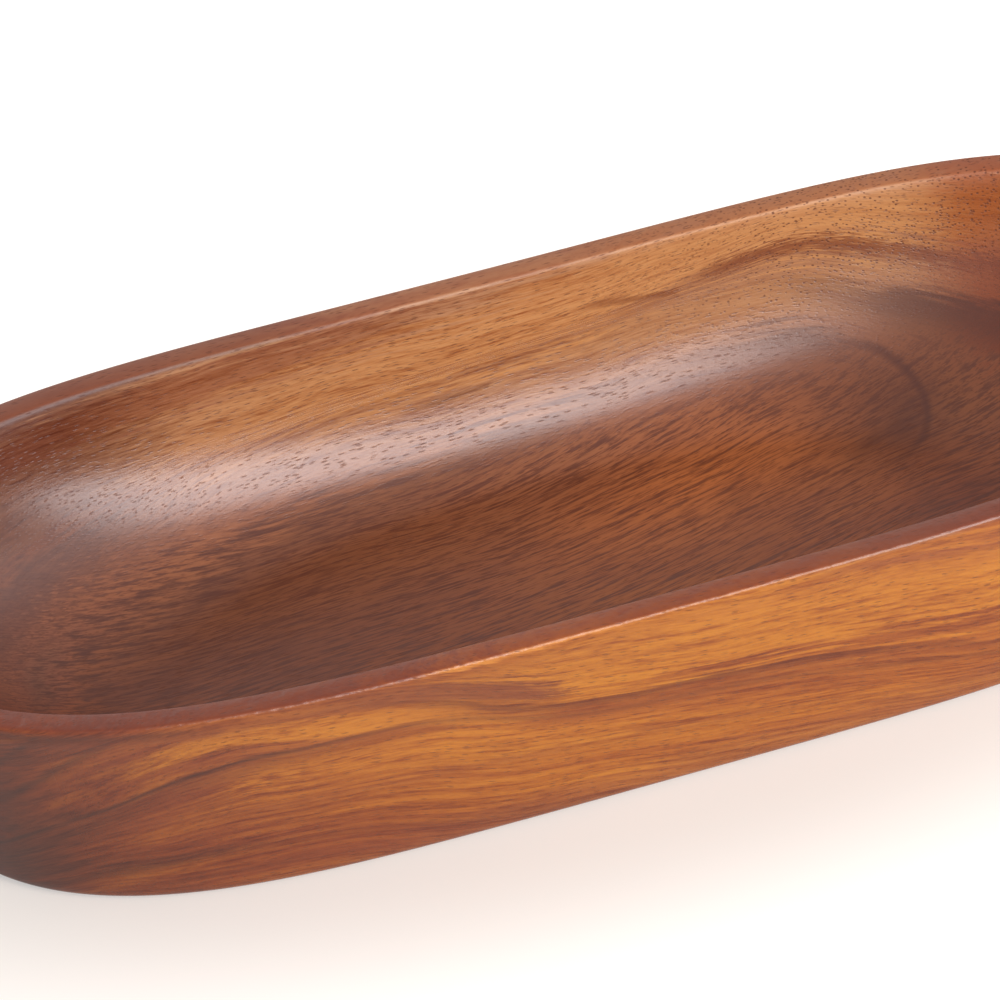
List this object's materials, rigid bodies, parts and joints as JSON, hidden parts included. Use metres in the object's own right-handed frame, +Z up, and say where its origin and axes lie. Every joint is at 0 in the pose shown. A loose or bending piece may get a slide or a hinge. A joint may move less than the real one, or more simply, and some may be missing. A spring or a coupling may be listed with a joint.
{
  "type": "wooden bowl",
  "caption": "Long oval wooden bowl for bread, carved from one block, with upright walls, a narrow rim, wide inner coves and a flat base",
  "frame": {"origin": "centre of the flat base, on the surface that the bowl stands on", "axes": "+X along the length, +Y across, +Z up out of the hollow"},
  "size_m": [0.4, 0.15, 0.0649],
  "materials": {
    "figured_hardwood": "satin lacquer over reddish brown figured hardwood, grain along the length"
  },
  "bodies": {
    "root": {"carved_body": "figured_hardwood"}
  },
  "joints": []
}
